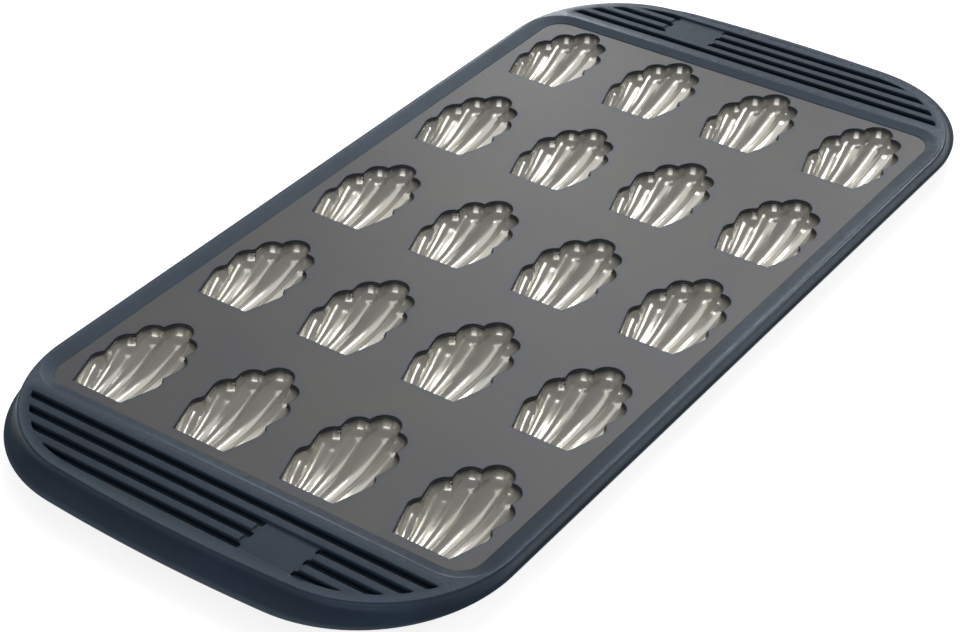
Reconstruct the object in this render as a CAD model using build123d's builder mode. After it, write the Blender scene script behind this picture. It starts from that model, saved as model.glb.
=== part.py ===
from build123d import *
import math
import os

# Madeleine pan for twenty small shell cakes. Sizes are in millimetres.
# X runs along the pan, from the straight ends of the cups towards their tips.
# Y runs across it, and +Z is up. The origin is under the middle of the pan,
# on the surface that it rests on.

# Layout of the cups
cups_along = 5
cups_across = 4
cup_pitch_along = 58.0
cup_pitch_across = 41.7
cup_row_shift = 1.2

# One shell cup
cup_length = 41.2
cup_half_width = 13.9
cup_depth = 9.6
cup_wall = 0.8
cup_wall_lean = 2.2
cup_start_run = 2.0
hem_width = 2.4
land_flat = 0.35

# Web sheet
web_thickness = 1.0
web_corner_radius = 15.0
opening_clearance = 0.3

# Surround. Its sight is the part of the web that shows inside it.
end_margin = 2.9
side_margin = 4.75
top_corner_radius = 46.0
foot_corner_radius = 51.0
end_bow_radius = 650.0
end_flare = 8.0
side_flare = 0.6
crest_rise = 1.4
crest_round = 0.9
skirt_drop = 3.6
rail_ramp_run = 6.4
rail_crest_width = 0.8
grip_ramp_run = 4.2
grip_zone_length = 33.0
sight_corner_radius = 8.0
ramp_corner_radius = 14.0
web_hold = 3.2
web_side_clearance = 0.3
under_opening_relief = 1.2

# Ribs and bare pad of a grip
grooves_per_grip = 4
grooves_before_pad = 1
groove_pitch = 5.57
groove_width = 2.3
groove_depth = 1.8
first_groove_from_end = 31.5
rib_margin = 4.0
pad_width = 22.0
pad_depth = 0.8
pad_offset = 31.0
recess_depth = 1.6
recess_border = 5.0

# Stiffening wire
wire_diameter = 2.0
wire_inset = 2.6
wire_clearance = 0.05
wire_below_crest = 2.3

# Cuts run past their work by this much
overrun = 1.0

# Levels that follow from the sizes above
web_underside = cup_depth + cup_wall - land_flat
web_top = web_underside + web_thickness
crest_level = web_top + crest_rise
foot_level = web_top - skirt_drop

# Flutes of a cup: the middle one, then the three on one side of it.
# Places are shares of the cup's length, its half width and its depth.
tip_along_shares = (0.879, 0.769, 0.570, 0.306)
tip_across_shares = (0.0, 0.460, 0.669, 0.719)
start_across_shares = (0.0, 0.252, 0.432, 0.532)
station_shares = (0.0, 0.2, 0.4, 0.6, 0.8, 1.0)
flute_radius_shares = (
    (0.230, 0.281, 0.324, 0.353, 0.360, 0.360),
    (0.129, 0.169, 0.209, 0.245, 0.281, 0.309),
    (0.122, 0.155, 0.191, 0.237, 0.288, 0.331),
    (0.122, 0.151, 0.187, 0.223, 0.252, 0.281),
)
flute_bottom_shares = (
    (0.730, 0.950, 1.000, 0.950, 0.790, 0.540),
    (0.690, 0.890, 0.930, 0.865, 0.710, 0.470),
    (0.580, 0.770, 0.810, 0.750, 0.645, 0.500),
    (0.440, 0.560, 0.610, 0.580, 0.500, 0.420),
)


def rounded_outline(half_length, half_width, corner_radius, end_radius):
    """Closed outline with straight sides, round corners and slightly bowed ends."""
    end_centre = half_length - end_radius
    corner_across = half_width - corner_radius
    centre_distance = end_radius - corner_radius
    corner_along = end_centre + math.sqrt(centre_distance**2 - corner_across**2)
    turn = math.atan2(corner_across, corner_along - end_centre)
    half_turn = (math.pi / 2 + turn) / 2
    end_point = (
        corner_along + corner_radius * math.cos(turn),
        corner_across + corner_radius * math.sin(turn),
    )
    corner_middle = (
        corner_along + corner_radius * math.cos(half_turn),
        corner_across + corner_radius * math.sin(half_turn),
    )
    with BuildLine() as quarter:
        Line((0, half_width), (corner_along, half_width))
        ThreePointArc((corner_along, half_width), corner_middle, end_point)
    with BuildLine() as outline:
        add(quarter.line)
        mirror(quarter.line, about=Plane.XZ)
        mirror(quarter.line, about=Plane.YZ)
        mirror(mirror(quarter.line, about=Plane.XZ, mode=Mode.PRIVATE), about=Plane.YZ)
        for side in (1, -1):
            ThreePointArc(
                (side * end_point[0], end_point[1]),
                (side * half_length, 0),
                (side * end_point[0], -end_point[1]),
            )
    return outline.line


def outline_block(half_length, half_width, corner_radius, low, high):
    """Upright block on the rounded outline, between two levels."""
    with BuildPart() as block:
        with BuildSketch(Plane.XY.offset(low)):
            add(rounded_outline(half_length, half_width, corner_radius, end_bow_radius))
            make_face()
        extrude(amount=high - low)
    return block.part


def flute_sections(flute, side, extra):
    """U-shaped sections of one flute, from the straight end of the cup to its tip."""
    tip = Vector(
        tip_along_shares[flute] * cup_length,
        side * tip_across_shares[flute] * cup_half_width,
    )
    start = Vector(-cup_start_run, side * start_across_shares[flute] * cup_half_width)
    run = tip - start
    for station, radius_share, bottom_share in zip(
        station_shares, flute_radius_shares[flute], flute_bottom_shares[flute]
    ):
        radius = radius_share * cup_half_width + extra
        bottom = -(bottom_share * cup_depth + extra)
        centre = start + run * station
        plane = Plane(
            origin=(centre.X, centre.Y, 0),
            x_dir=(-run.Y, run.X, 0),
            z_dir=(run.X, run.Y, 0),
        )
        yield plane, radius, bottom


def flute_block(flute, side, extra):
    """One flute as a solid: a lofted trough with a round tip, open to above the rim."""
    with BuildPart() as trough:
        for plane, radius, bottom in flute_sections(flute, side, extra):
            with BuildSketch(plane):
                with BuildLine():
                    Line((-radius, overrun), (radius, overrun))
                    Line((radius, overrun), (radius, bottom + radius))
                    ThreePointArc((radius, bottom + radius), (0, bottom), (-radius, bottom + radius))
                    Line((-radius, bottom + radius), (-radius, overrun))
                make_face()
        loft()
        with BuildSketch(plane):
            with BuildLine():
                Line((0, overrun), (radius, overrun))
                Line((radius, overrun), (radius, bottom + radius))
                CenterArc((0, bottom + radius), radius, 0, -90)
                Line((0, bottom), (0, overrun))
            make_face()
        revolve(axis=Axis(plane.origin, (0, 0, -1)), revolution_arc=180)
    return trough.part


def cup_blank(extra):
    """Block that bounds a cup's room: flat above, with the leaning wall of the straight end."""
    with BuildPart() as blank:
        with BuildSketch(Plane.XZ):
            deep = -(cup_depth + extra + overrun)
            lean = cup_wall_lean * -deep / cup_depth
            far = cup_length + extra + overrun
            Polygon((-extra, 0), (lean - extra, deep), (far, deep), (far, 0), align=None)
        extrude(amount=cup_half_width + extra + overrun, both=True)
    return blank.part


def fluted_room(extra):
    """The room inside a cup, grown by extra on every side but its flat top."""
    blank = cup_blank(extra)
    with BuildPart() as around:
        add(blank)
        for flute in range(len(tip_along_shares)):
            for side in (1,) if flute == 0 else (1, -1):
                add(flute_block(flute, side, extra), mode=Mode.SUBTRACT)
    with BuildPart() as room:
        add(blank)
        add(around.part, mode=Mode.SUBTRACT)
    return room.part


def rim_prism(extra, low, high):
    """Upright prism on the outline of a cup's rim, grown by extra."""
    rim = fluted_room(extra).faces().sort_by(Axis.Z)[-1]
    with BuildPart() as prism:
        extrude(Location((0, 0, low)) * rim, amount=high - low, dir=(0, 0, 1))
    return prism.part


# Places of the cups: the middle of each straight end, at the web's underside
cup_places = [
    (
        cup_row_shift - cup_length / 2 + cup_pitch_along * (column - (cups_along - 1) / 2),
        cup_pitch_across * ((cups_across - 1) / 2 - row),
        web_underside,
    )
    for row in range(cups_across)
    for column in range(cups_along)
]

# Shell cup: pressed from sheet, hollow above and below, with a flat hem
with BuildPart() as shell_cup:
    add(fluted_room(cup_wall))
    add(rim_prism(hem_width, -cup_wall, 0))
    add(fluted_room(0), mode=Mode.SUBTRACT)
    with BuildSketch(Plane.XY.offset(-web_underside)):
        Rectangle(cup_length, cup_half_width, align=(Align.MIN, Align.CENTER))
    extrude(amount=-(land_flat + overrun), mode=Mode.SUBTRACT)

for index, place in enumerate(cup_places):
    row, column = divmod(index, cups_along)
    cup = Location(place) * shell_cup.part
    cup.label = f"shell_cup_row{row + 1}_column{column + 1}"
    export_step(cup, f"parts/{cup.label}.step")

# The cups and the bare margins round them size the sight, and the sight sizes the rest
cups_half_length = (cup_pitch_along * (cups_along - 1) + cup_length) / 2
cups_half_width = cup_pitch_across * (cups_across - 1) / 2 + cup_half_width
sight_half_length = cups_half_length + end_margin
sight_half_width = cups_half_width + side_margin
top_half_length = sight_half_length + grip_zone_length
top_half_width = sight_half_width + rail_ramp_run + rail_crest_width
web_half_length = sight_half_length + web_hold
web_half_width = sight_half_width + web_hold

# Web sheet with a shell-shaped opening over each cup
opening = rim_prism(opening_clearance, -overrun, web_thickness + overrun)
with BuildPart() as web_panel:
    with BuildSketch(Plane.XY.offset(web_underside)):
        RectangleRounded(2 * web_half_length, 2 * web_half_width, web_corner_radius)
    extrude(amount=web_thickness)
    with Locations(*cup_places):
        add(opening, mode=Mode.SUBTRACT)
web_panel.part.label = "web_panel"
export_step(web_panel.part, "parts/web_panel.step")

# Stiffening wire: one closed ring of round wire inside the surround's rim
wire_level = crest_level - wire_below_crest
wire_half_length = top_half_length - wire_inset
wire_half_width = top_half_width - wire_inset
wire_path = Location((0, 0, wire_level)) * rounded_outline(
    wire_half_length, wire_half_width, top_corner_radius - wire_inset, end_bow_radius
)


def wire_ring(diameter):
    """Closed round ring along the wire's path."""
    start_plane = Plane(
        origin=(0, wire_half_width, wire_level), x_dir=(0, 1, 0), z_dir=(1, 0, 0)
    )
    with BuildPart() as ring:
        with BuildLine():
            add(wire_path)
        with BuildSketch(start_plane):
            Circle(diameter / 2)
        sweep()
    return ring.part


rim_wire = wire_ring(wire_diameter)
rim_wire.label = "rim_wire"
export_step(rim_wire, "parts/rim_wire.step")


def grip_grooves():
    """Cutters for the grooves between the ribs of the +X grip, with its bare pad."""
    first = top_half_length + end_flare - first_groove_from_end
    with BuildPart() as cutters:
        with BuildSketch(Plane.XY.offset(crest_level + overrun)):
            for groove in range(grooves_per_grip):
                with Locations((first + groove * groove_pitch, 0)):
                    Rectangle(groove_width, 2 * top_half_width)
        extrude(amount=-(groove_depth + overrun))
        pad_start = first + grooves_before_pad * groove_pitch
        pad_run = (grooves_per_grip - 1 - grooves_before_pad) * groove_pitch
        pad_length = pad_run + groove_width
        pad_place = (pad_start + pad_run / 2, pad_offset)
        with BuildSketch(Plane.XY.offset(crest_level + overrun)):
            with Locations(pad_place):
                Rectangle(pad_length, pad_width)
        extrude(amount=-(groove_depth + 2 * overrun), mode=Mode.SUBTRACT)
        with BuildSketch(Plane.XY.offset(crest_level + overrun)):
            with Locations(pad_place):
                Rectangle(pad_length, pad_width)
        extrude(amount=-(pad_depth + overrun))
        limits = outline_block(
            top_half_length - rib_margin,
            top_half_width - rib_margin,
            top_corner_radius - rib_margin,
            foot_level,
            crest_level + 2 * overrun,
        )
        add(limits, mode=Mode.INTERSECT)
    return cutters.part


def grip_recess():
    """Cutter for the shallow hollow under the +X grip."""
    inner = web_half_length + recess_border
    outer = wire_half_length - wire_diameter / 2 - recess_border / 2
    with BuildPart() as hollow:
        with BuildSketch(Plane.XY.offset(foot_level - overrun)):
            with Locations(((inner + outer) / 2, 0)):
                Rectangle(outer - inner, 2 * top_half_width)
        extrude(amount=recess_depth + overrun)
        limits = outline_block(
            top_half_length - recess_border,
            top_half_width - 2 * recess_border,
            top_corner_radius - recess_border,
            foot_level - 2 * overrun,
            crest_level,
        )
        add(limits, mode=Mode.INTERSECT)
    return hollow.part


# Surround: a moulded frame with rails on the long sides and a grip at each end.
# Its skirt flares outwards from the crest to the foot, most of all at the ends.
flare_level_shares = (0.0, 0.22, 0.55, 1.0)
flare_run_shares = (1.0, 0.62, 0.24, 0.0)
with BuildPart() as silicone_surround:
    for level_share, run_share in zip(flare_level_shares, flare_run_shares):
        with BuildSketch(Plane.XY.offset(foot_level + level_share * (crest_level - foot_level))):
            add(
                rounded_outline(
                    top_half_length + run_share * end_flare,
                    top_half_width + run_share * side_flare,
                    top_corner_radius + run_share * (foot_corner_radius - top_corner_radius),
                    end_bow_radius,
                )
            )
            make_face()
    loft(ruled=True)
    crest_edges = silicone_surround.faces().sort_by(Axis.Z)[-1].outer_wire().edges()
    fillet(crest_edges, radius=crest_round)
    # Sloping sight opening above the web
    with BuildSketch(Plane.XY.offset(web_top)):
        RectangleRounded(2 * sight_half_length, 2 * sight_half_width, sight_corner_radius)
    with BuildSketch(Plane.XY.offset(crest_level)):
        RectangleRounded(
            2 * (sight_half_length + grip_ramp_run),
            2 * (sight_half_width + rail_ramp_run),
            ramp_corner_radius,
        )
    loft(ruled=True, mode=Mode.SUBTRACT)
    # Opening under the web, inside the bed that carries the web's edge
    with BuildSketch(Plane.XY.offset(foot_level - overrun)):
        RectangleRounded(
            2 * (sight_half_length + under_opening_relief),
            2 * (sight_half_width + under_opening_relief),
            sight_corner_radius + under_opening_relief,
        )
    extrude(amount=web_underside - foot_level + overrun, mode=Mode.SUBTRACT)
    # Slot that holds the web's edge
    with BuildSketch(Plane.XY.offset(web_underside)):
        RectangleRounded(
            2 * (web_half_length + web_side_clearance),
            2 * (web_half_width + web_side_clearance),
            web_corner_radius + web_side_clearance,
        )
    extrude(amount=web_thickness, mode=Mode.SUBTRACT)
    # Room for the wire
    add(wire_ring(wire_diameter + 2 * wire_clearance), mode=Mode.SUBTRACT)
    # Grooves, pads and hollows of the two grips, which are turned copies of each other
    grooves = grip_grooves()
    recess = grip_recess()
    for turn in (0, 180):
        with Locations(Location((0, 0, 0), (0, 0, turn))):
            add(grooves, mode=Mode.SUBTRACT)
            add(recess, mode=Mode.SUBTRACT)
silicone_surround.part.label = "silicone_surround"
export_step(silicone_surround.part, "parts/silicone_surround.step")
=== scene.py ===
"""Studio scene of a madeleine pan for twenty small shell cakes.

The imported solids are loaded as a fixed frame. Each sub-assembly builds finer
meshes at the places of those solids and dresses them. Sizes are in
millimetres until a mesh is made, and in metres from there on. X runs along
the pan, Y across it, and +Z is up from the surface that it rests on.
"""
from __future__ import annotations

import logging
import math
from dataclasses import dataclass, field
from enum import Enum
from typing import Optional, Sequence

import bmesh
import bpy
import numpy as np
from mathutils import Matrix, Vector
from mathutils.geometry import delaunay_2d_cdt


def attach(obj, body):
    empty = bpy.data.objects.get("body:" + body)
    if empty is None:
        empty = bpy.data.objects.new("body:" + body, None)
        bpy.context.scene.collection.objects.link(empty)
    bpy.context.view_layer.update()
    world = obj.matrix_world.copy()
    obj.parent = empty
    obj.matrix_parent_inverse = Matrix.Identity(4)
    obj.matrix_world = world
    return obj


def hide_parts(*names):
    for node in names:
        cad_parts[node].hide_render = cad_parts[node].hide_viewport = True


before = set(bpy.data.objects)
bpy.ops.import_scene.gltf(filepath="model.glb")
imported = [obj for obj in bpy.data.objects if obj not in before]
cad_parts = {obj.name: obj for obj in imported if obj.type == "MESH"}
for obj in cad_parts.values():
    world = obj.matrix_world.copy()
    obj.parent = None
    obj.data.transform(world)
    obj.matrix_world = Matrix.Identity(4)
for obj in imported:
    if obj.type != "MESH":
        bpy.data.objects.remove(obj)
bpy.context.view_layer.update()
METRES_PER_MM = 0.001
WELD_MM = 0.0005
FILL_TOLERANCE = 1e-7
ROUND_MIDDLE = 0.3
LOG = logging.getLogger("madeleine_pan")

Triple = tuple[float, float, float]
Colour = Triple


class Side(Enum):
    """Which way a flat fill or a grip faces."""

    UP = 1
    DOWN = -1


class LampKind(Enum):
    """The studio's soft lamps, by the place they hold."""

    SIDE_STRIP = "side_strip"
    RAIL_STRIP = "rail_strip"
    OVERHEAD = "overhead_softbox"
    FAR_STRIP = "far_strip"
    NEAR_FILL = "near_fill"


def linear(red: float, green: float, blue: float) -> Colour:
    """Turns a display colour into a linear one.

    Args:
        red: Display red, 0 to 255.
        green: Display green, 0 to 255.
        blue: Display blue, 0 to 255.

    Returns:
        The linear colour, 0 to 1 in each part.
    """
    shares = [part / 255.0 for part in (red, green, blue)]
    return tuple(s / 12.92 if s <= 0.04045 else ((s + 0.055) / 1.055) ** 2.4 for s in shares)


def soft_max(first: np.ndarray, second: np.ndarray, softness: float) -> np.ndarray:
    """Larger of two depths, with the change from one to the other rounded off.

    Args:
        first: Depths of one form.
        second: Depths of the other form.
        softness: Difference in depth over which the two blend.

    Returns:
        The blended depths.
    """
    blend = np.maximum(softness - np.abs(first - second), 0.0) / softness
    return np.maximum(first, second) + blend * blend * softness / 4.0


class SmoothCurve:
    """Natural cubic curve through evenly spaced values, read by a share from 0 to 1."""

    def __init__(self, values: Sequence[float]) -> None:
        """Fits the curve.

        Args:
            values: The values at even steps from share 0 to share 1.
        """
        self.values = np.asarray(values, float)
        self.last = len(self.values) - 1
        system = np.eye(self.last + 1)
        right = np.zeros(self.last + 1)
        for step in range(1, self.last):
            system[step, step - 1 : step + 2] = (1.0, 4.0, 1.0)
            right[step] = 6.0 * (
                self.values[step + 1] - 2.0 * self.values[step] + self.values[step - 1]
            )
        self.bends = np.linalg.solve(system, right)

    def __call__(self, share: np.ndarray) -> np.ndarray:
        """Reads the curve.

        Args:
            share: Where to read it; values outside 0 to 1 read the nearest end.

        Returns:
            The curve's values there.
        """
        place = np.clip(np.asarray(share, float), 0.0, 1.0) * self.last
        step = np.minimum(np.floor(place).astype(int), self.last - 1)
        after = place - step
        before = 1.0 - after
        return (
            before * self.values[step]
            + after * self.values[step + 1]
            + (before**3 - before) * self.bends[step] / 6.0
            + (after**3 - after) * self.bends[step + 1] / 6.0
        )


class MeshSketch:
    """Gathers points and faces in millimetres and makes one welded mesh in metres."""

    def __init__(self) -> None:
        """Starts with no points and no faces."""
        self.points: list[Triple] = []
        self.painted_light_and_wear: list[float] = []
        self.faces: list[tuple[int, ...]] = []
        self.inward_from: Optional[int] = None

    def row(
        self, plan: np.ndarray, level: float | np.ndarray, painted_light_and_wear: float | np.ndarray = 0.0
    ) -> list[int]:
        """Adds a row of points.

        Args:
            plan: X and Y of each point.
            level: Z of all the points, or of each.
            painted_light_and_wear: How strongly painted light mixed with scuffs marks the surface there,
                up to 1, and painted shade in a groove, down to -1.

        Returns:
            The numbers of the new points.
        """
        first = len(self.points)
        levels = np.broadcast_to(np.asarray(level, float), (len(plan),))
        self.points += [(float(x), float(y), float(z)) for (x, y), z in zip(plan, levels)]
        self.painted_light_and_wear += np.broadcast_to(np.asarray(painted_light_and_wear, float), (len(plan),)).tolist()
        return list(range(first, len(self.points)))

    def band(self, first: Sequence[int], second: Sequence[int], closed: bool = True) -> None:
        """Joins two rows of equal length with four-sided faces.

        Args:
            first: Point numbers of one row.
            second: Point numbers of the other row.
            closed: True if the rows are rings.
        """
        count = len(first)
        for step in range(count if closed else count - 1):
            after = (step + 1) % count
            self.faces.append((first[step], first[after], second[after], second[step]))

    def stack(self, rows: Sequence[Sequence[int]], closed: bool = True) -> None:
        """Joins each row to the next one."""
        for first, second in zip(rows, rows[1:]):
            self.band(first, second, closed)

    def fill(self, rings: Sequence[Sequence[int]], side: Side) -> None:
        """Fills a flat area between rings with triangles; inner rings leave holes.

        Args:
            rings: Point numbers of each ring.
            side: Which way the filled area faces.
        """
        numbers = [number for ring in rings for number in ring]
        plan = np.array([self.points[number][:2] for number in numbers])
        edges = []
        start = 0
        for ring in rings:
            count = len(ring)
            edges += [(start + step, start + (step + 1) % count) for step in range(count)]
            start += count
        made = delaunay_2d_cdt([Vector(p) for p in plan], edges, [], 0, FILL_TOLERANCE)
        places = np.array([tuple(p) for p in made[0]])
        corners = np.array([tuple(face) for face in made[2]])
        inside = self.inside(places[corners].mean(axis=1), plan, edges)
        for triangle in corners[inside]:
            face = tuple(numbers[made[3][corner][0]] for corner in triangle)
            self.faces.append(face if side is Side.UP else face[::-1])

    @staticmethod
    def inside(spots: np.ndarray, plan: np.ndarray, edges: Sequence[tuple[int, int]]) -> np.ndarray:
        """Tells which spots lie between the rings, by counting the edges that a ray crosses.

        Args:
            spots: X and Y of each spot.
            plan: X and Y of the ring points.
            edges: Pairs of ring points.

        Returns:
            True for each spot that is inside.
        """
        crossings = np.zeros(len(spots), int)
        for first, second in edges:
            (ax, ay), (bx, by) = plan[first], plan[second]
            if ay == by:
                continue
            spans = (spots[:, 1] < ay) != (spots[:, 1] < by)
            reach = ax + (spots[:, 1] - ay) * (bx - ax) / (by - ay)
            crossings += spans & (spots[:, 0] < reach)
        return crossings % 2 == 1

    def start_inner_wall(self) -> None:
        """From here on, faces belong to a closed hollow inside the body."""
        self.inward_from = len(self.faces)

    def make(self, name: str, crease: float = 40.0) -> bpy.types.Object:
        """Makes the welded mesh object.

        Args:
            name: Name of the piece.
            crease: Angle in degrees above which an edge stays sharp.

        Returns:
            The new object, linked to the scene.
        """
        spots: dict[tuple[int, int, int], int] = {}
        numbers, kept, painted_light_and_wear = [], [], []
        for point, light_and_wear_mark in zip(self.points, self.painted_light_and_wear):
            key = tuple(round(part / WELD_MM) for part in point)
            if key not in spots:
                spots[key] = len(kept)
                kept.append(point)
                painted_light_and_wear.append(light_and_wear_mark)
            numbers.append(spots[key])
            painted_light_and_wear[spots[key]] = max(painted_light_and_wear[spots[key]], light_and_wear_mark)
        faces, hollow = [], []
        for place, face in enumerate(self.faces):
            ring = [numbers[corner] for corner in face]
            ring = [spot for step, spot in enumerate(ring) if spot != ring[step - 1]]
            if len(set(ring)) >= 3:
                faces.append(ring)
                hollow.append(self.inward_from is not None and place >= self.inward_from)
        mesh = bpy.data.meshes.new(name)
        mesh.from_pydata([[part * METRES_PER_MM for part in p] for p in kept], [], faces)
        # This point value carries painted light mixed with scuffs: a painted highlight on rubber crests,
        # and painted shade at cup rims, sheet openings and grooves.
        mesh.attributes.new("painted_light_and_wear", "FLOAT", "POINT").data.foreach_set("value", painted_light_and_wear)
        work = bmesh.new()
        work.from_mesh(mesh)
        work.faces.ensure_lookup_table()
        inner = [face for face, flag in zip(work.faces, hollow) if flag]
        bmesh.ops.recalc_face_normals(work, faces=work.faces[:])
        bmesh.ops.reverse_faces(work, faces=inner)
        work.to_mesh(mesh)
        work.free()
        mesh.shade_smooth()
        mesh.set_sharp_from_angle(angle=math.radians(crease))
        piece = bpy.data.objects.new(name, mesh)
        bpy.context.scene.collection.objects.link(piece)
        return piece


def even_normals(piece: bpy.types.Object) -> None:
    """Lets large flat faces keep flat shading beside their rounded edges."""
    settle = piece.modifiers.new("even_normals", "WEIGHTED_NORMAL")
    settle.keep_sharp = True
    settle.weight = 80


class NodeBench:
    """Lays out one material's nodes around a Principled shader."""

    def __init__(self, name: str) -> None:
        """Makes the material.

        Args:
            name: Name of the material.
        """
        self.material = bpy.data.materials.new(name)
        self.material.use_nodes = True
        self.tree = self.material.node_tree
        self.tree.nodes.clear()
        self.end = self.add("ShaderNodeOutputMaterial")
        self.shader = self.add("ShaderNodeBsdfPrincipled")
        self.join(self.shader.outputs["BSDF"], self.end.inputs["Surface"])

    def add(self, kind: str, **settings: object) -> bpy.types.Node:
        """Adds a node and sets its own settings."""
        node = self.tree.nodes.new(kind)
        for name, value in settings.items():
            setattr(node, name, value)
        return node

    def join(self, source: bpy.types.NodeSocket, target: bpy.types.NodeSocket) -> None:
        """Links an output socket to an input socket."""
        self.tree.links.new(source, target)

    def set(self, **values: object) -> None:
        """Sets the shader's own sockets; underscores in a name stand for spaces."""
        for name, value in values.items():
            self.shader.inputs[name.replace("_", " ")].default_value = value

    def place(self, stretch: Triple = (1.0, 1.0, 1.0)) -> bpy.types.NodeSocket:
        """Place on the object, stretched along chosen axes, for textures to follow."""
        where = self.add("ShaderNodeTexCoord").outputs["Object"]
        if stretch == (1.0, 1.0, 1.0):
            return where
        mapping = self.add("ShaderNodeMapping")
        mapping.inputs["Scale"].default_value = stretch
        self.join(where, mapping.inputs["Vector"])
        return mapping.outputs["Vector"]

    def noise(
        self, scale: float, detail: float = 3.0, stretch: Triple = (1.0, 1.0, 1.0), rough: float = 0.5
    ) -> bpy.types.NodeSocket:
        """Noise texture.

        Args:
            scale: Number of lumps per metre.
            detail: Number of finer layers.
            stretch: Scale along each axis.
            rough: Strength of the finer layers.

        Returns:
            The socket with the noise value.
        """
        texture = self.add("ShaderNodeTexNoise")
        texture.inputs["Scale"].default_value = scale
        texture.inputs["Detail"].default_value = detail
        texture.inputs["Roughness"].default_value = rough
        self.join(self.place(stretch), texture.inputs["Vector"])
        return texture.outputs["Fac"]

    def span(
        self, source: bpy.types.NodeSocket, low: float, high: float, to_low: float, to_high: float
    ) -> bpy.types.NodeSocket:
        """Stretches a value's range from low-high to to_low-to_high, clamped."""
        node = self.add("ShaderNodeMapRange", clamp=True)
        for name, value in (
            ("From Min", low),
            ("From Max", high),
            ("To Min", to_low),
            ("To Max", to_high),
        ):
            node.inputs[name].default_value = value
        self.join(source, node.inputs["Value"])
        return node.outputs["Result"]

    def math(
        self, operation: str, first: bpy.types.NodeSocket, second: bpy.types.NodeSocket | float
    ) -> bpy.types.NodeSocket:
        """Combines two values by a named operation."""
        node = self.add("ShaderNodeMath", operation=operation)
        self.join(first, node.inputs[0])
        if isinstance(second, float):
            node.inputs[1].default_value = second
        else:
            self.join(second, node.inputs[1])
        return node.outputs["Value"]

    def tint(
        self,
        share: bpy.types.NodeSocket,
        first: bpy.types.NodeSocket | Colour,
        second: bpy.types.NodeSocket | Colour,
    ) -> bpy.types.NodeSocket:
        """Mixes two colours by a share.

        Args:
            share: 0 gives the first colour and 1 the second.
            first: A linear colour or a socket.
            second: A linear colour or a socket.

        Returns:
            The socket with the mixed colour.
        """
        node = self.add("ShaderNodeMix", data_type="RGBA")
        self.join(share, node.inputs["Factor"])
        for socket, value in zip((node.inputs[6], node.inputs[7]), (first, second)):
            if isinstance(value, tuple):
                socket.default_value = (*value, 1.0)
            else:
                self.join(value, socket)
        return node.outputs[2]

    def mark(self, name: str) -> bpy.types.NodeSocket:
        """Value that a mesh carries at its points under the given name."""
        return self.add("ShaderNodeAttribute", attribute_name=name).outputs["Fac"]

    def bump(self, layers: Sequence[tuple[bpy.types.NodeSocket, float]]) -> None:
        """Raises the surface by height layers, each given with its depth in millimetres."""
        normal: Optional[bpy.types.NodeSocket] = None
        for height, depth in layers:
            node = self.add("ShaderNodeBump")
            node.inputs["Strength"].default_value = 1.0
            node.inputs["Distance"].default_value = depth * METRES_PER_MM
            self.join(height, node.inputs["Height"])
            if normal is not None:
                self.join(normal, node.inputs["Normal"])
            normal = node.outputs["Normal"]
        if normal is not None:
            self.join(normal, self.shader.inputs["Normal"])


@dataclass(frozen=True)
class RubberFinish:
    """Slate-blue moulded rubber with a satin skin, with a painted highlight mixed with scuffs on its
    crests and painted shade in its grooves.
    """

    slot: str = "surround"
    base: Colour = linear(34, 43, 55)
    cool: Colour = linear(40, 52, 65)
    # Paler crest colour: a painted highlight mixed with scuffs.
    crest_highlight_and_wear: Colour = linear(66, 77, 91)
    # Near-black painted shade for the grooves.
    deep: Colour = linear(12, 16, 24)
    roughness: float = 0.46
    crest_polish: float = 0.27
    specular: float = 0.22
    gloss_tint: Colour = (0.7, 0.86, 1.0)
    cloud_scale: float = 38.0
    mould_scale: float = 420.0
    grain_scale: float = 2600.0
    mould_bump: float = 0.035
    grain_bump: float = 0.012

    def material(self) -> bpy.types.Material:
        """Builds the rubber."""
        bench = NodeBench("moulded_rubber")
        clouds = bench.noise(self.cloud_scale, 4.0)
        grain = bench.noise(self.grain_scale, 2.0)
        mould = bench.noise(self.mould_scale, 5.0, rough=0.62)
        colour = bench.tint(bench.span(clouds, 0.35, 0.65, 0.0, 1.0), self.base, self.cool)
        # Painted highlight mixed with scuffs: the crests turn paler, in mottled patches.
        crest = bench.span(bench.mark("painted_light_and_wear"), 0.0, 1.0, 0.0, 1.0)
        light_and_wear_mark = bench.math("MULTIPLY", crest, bench.span(mould, 0.3, 0.7, 0.42, 0.62))
        colour = bench.tint(light_and_wear_mark, colour, self.crest_highlight_and_wear)
        # Painted shade: the grooves turn near black where they are deepest.
        colour = bench.tint(bench.span(bench.mark("painted_light_and_wear"), -1.0, 0.0, 0.9, 0.0), colour, self.deep)
        bench.join(colour, bench.shader.inputs["Base Color"])
        rough = bench.span(mould, 0.3, 0.7, self.roughness - 0.05, self.roughness + 0.07)
        rough = bench.math("SUBTRACT", rough, bench.math("MULTIPLY", crest, self.crest_polish))
        bench.join(rough, bench.shader.inputs["Roughness"])
        bench.set(Specular_IOR_Level=self.specular, Specular_Tint=(*self.gloss_tint, 1.0))
        bench.bump([(mould, self.mould_bump), (grain, self.grain_bump)])
        return bench.material


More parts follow.
